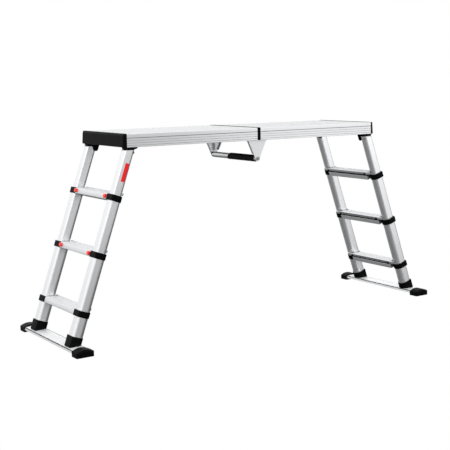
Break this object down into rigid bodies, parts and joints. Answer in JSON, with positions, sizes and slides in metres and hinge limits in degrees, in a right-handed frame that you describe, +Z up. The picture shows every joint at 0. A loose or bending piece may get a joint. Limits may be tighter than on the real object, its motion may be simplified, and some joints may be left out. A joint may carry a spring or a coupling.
{
  "type": "work platform bench",
  "caption": "Folding work platform: grooved aluminium deck hinged mid-span over a carrying bar, on a splayed telescopic ladder leg with a rubber-ended foot bar at each end.",
  "frame": {"origin": "on the floor, under the middle of the deck", "axes": "+X along the deck towards the right leg, +Y across the deck towards the rear, +Z up"},
  "size_m": [2.221, 0.668, 1],
  "materials": {
    "aluminium": "anodised, satin",
    "dull_aluminium": "mill, dull",
    "black_plastic": "fine texture",
    "black_rubber": "matt",
    "red_plastic": "gloss",
    "steel": "zinc plated"
  },
  "bodies": {
    "left_deck": {"left_deck_panel": "aluminium", "left_end_cap": "black_plastic", "left_joint_cap": "black_plastic", "left_hinge_bracket": "dull_aluminium", "left_leg_bracket": "dull_aluminium", "hinge_spindle": "steel", "handle_grip": "black_rubber"},
    "right_deck": {"right_deck_panel": "aluminium", "right_end_cap": "black_plastic", "right_joint_cap": "black_plastic", "right_hinge_bracket": "dull_aluminium", "right_leg_bracket": "dull_aluminium"},
    "left_upper": {"left_upper_stile_front": "aluminium", "left_upper_stile_rear": "aluminium"},
    "left_middle": {"left_middle_stile_front": "aluminium", "left_middle_stile_rear": "aluminium", "left_collar_3_front": "black_plastic", "left_collar_3_rear": "black_plastic", "left_rung_3": "aluminium"},
    "left_lower": {"left_lower_stile_front": "aluminium", "left_lower_stile_rear": "aluminium", "left_collar_2_front": "black_plastic", "left_collar_2_rear": "black_plastic", "left_collar_1_front": "black_plastic", "left_collar_1_rear": "black_plastic", "left_rung_2": "aluminium", "left_rung_1": "aluminium", "left_boot_front": "black_plastic", "left_boot_rear": "black_plastic", "left_foot_bar": "aluminium", "left_foot_cap_front": "black_rubber", "left_foot_cap_rear": "black_rubber"},
    "left_button_3_front": {"left_button_3_front": "red_plastic"},
    "left_button_3_rear": {"left_button_3_rear": "red_plastic"},
    "left_button_2_front": {"left_button_2_front": "red_plastic"},
    "left_button_2_rear": {"left_button_2_rear": "red_plastic"},
    "right_upper": {"right_upper_stile_front": "aluminium", "right_upper_stile_rear": "aluminium"},
    "right_middle": {"right_middle_stile_front": "aluminium", "right_middle_stile_rear": "aluminium", "right_collar_3_front": "black_plastic", "right_collar_3_rear": "black_plastic", "right_rung_3": "aluminium"},
    "right_lower": {"right_lower_stile_front": "aluminium", "right_lower_stile_rear": "aluminium", "right_collar_2_front": "black_plastic", "right_collar_2_rear": "black_plastic", "right_collar_1_front": "black_plastic", "right_collar_1_rear": "black_plastic", "right_rung_2": "aluminium", "right_rung_1": "aluminium", "right_boot_front": "black_plastic", "right_boot_rear": "black_plastic", "right_foot_bar": "aluminium", "right_foot_cap_front": "black_rubber", "right_foot_cap_rear": "black_rubber"},
    "right_button_3_front": {"right_button_3_front": "red_plastic"},
    "right_button_3_rear": {"right_button_3_rear": "red_plastic"},
    "right_button_2_front": {"right_button_2_front": "red_plastic"},
    "right_button_2_rear": {"right_button_2_rear": "red_plastic"}
  },
  "joints": [
    {"name": "deck_fold", "type": "hinge", "parent": "left_deck", "child": "right_deck", "pos_m": [0, 0, 0.841], "axis": [0, 1, 0], "range_deg": [0, 80]},
    {"name": "left_leg_fold", "type": "hinge", "parent": "left_deck", "child": "left_upper", "pos_m": [-0.72894, 0, 0.91], "axis": [0, -1, 0], "range_deg": [0, 95]},
    {"name": "left_middle_slide", "type": "slide", "parent": "left_upper", "child": "left_middle", "axis": [0.3355, 0, 0.9421], "range_m": [0, 0.15]},
    {"name": "left_lower_slide", "type": "slide", "parent": "left_middle", "child": "left_lower", "axis": [0.3355, 0, 0.9421], "range_m": [0, 0.228]},
    {"name": "left_button_3_front_press", "type": "slide", "parent": "left_middle", "child": "left_button_3_front", "axis": [0, 1, 0], "range_m": [0, 0.008], "stiffness_N_per_m": 400, "springref_m": -0.004},
    {"name": "left_button_3_rear_press", "type": "slide", "parent": "left_middle", "child": "left_button_3_rear", "axis": [0, -1, 0], "range_m": [0, 0.008], "stiffness_N_per_m": 400, "springref_m": -0.004},
    {"name": "left_button_2_front_press", "type": "slide", "parent": "left_lower", "child": "left_button_2_front", "axis": [0, 1, 0], "range_m": [0, 0.008], "stiffness_N_per_m": 400, "springref_m": -0.004},
    {"name": "left_button_2_rear_press", "type": "slide", "parent": "left_lower", "child": "left_button_2_rear", "axis": [0, -1, 0], "range_m": [0, 0.008], "stiffness_N_per_m": 400, "springref_m": -0.004},
    {"name": "right_leg_fold", "type": "hinge", "parent": "right_deck", "child": "right_upper", "pos_m": [0.72894, 0, 0.91], "axis": [0, 1, 0], "range_deg": [0, 95]},
    {"name": "right_middle_slide", "type": "slide", "parent": "right_upper", "child": "right_middle", "axis": [-0.3355, 0, 0.9421], "range_m": [0, 0.15]},
    {"name": "right_lower_slide", "type": "slide", "parent": "right_middle", "child": "right_lower", "axis": [-0.3355, 0, 0.9421], "range_m": [0, 0.228]},
    {"name": "right_button_3_front_press", "type": "slide", "parent": "right_middle", "child": "right_button_3_front", "axis": [0, 1, 0], "range_m": [0, 0.008], "stiffness_N_per_m": 400, "springref_m": -0.004},
    {"name": "right_button_3_rear_press", "type": "slide", "parent": "right_middle", "child": "right_button_3_rear", "axis": [0, -1, 0], "range_m": [0, 0.008], "stiffness_N_per_m": 400, "springref_m": -0.004},
    {"name": "right_button_2_front_press", "type": "slide", "parent": "right_lower", "child": "right_button_2_front", "axis": [0, 1, 0], "range_m": [0, 0.008], "stiffness_N_per_m": 400, "springref_m": -0.004},
    {"name": "right_button_2_rear_press", "type": "slide", "parent": "right_lower", "child": "right_button_2_rear", "axis": [0, -1, 0], "range_m": [0, 0.008], "stiffness_N_per_m": 400, "springref_m": -0.004}
  ]
}
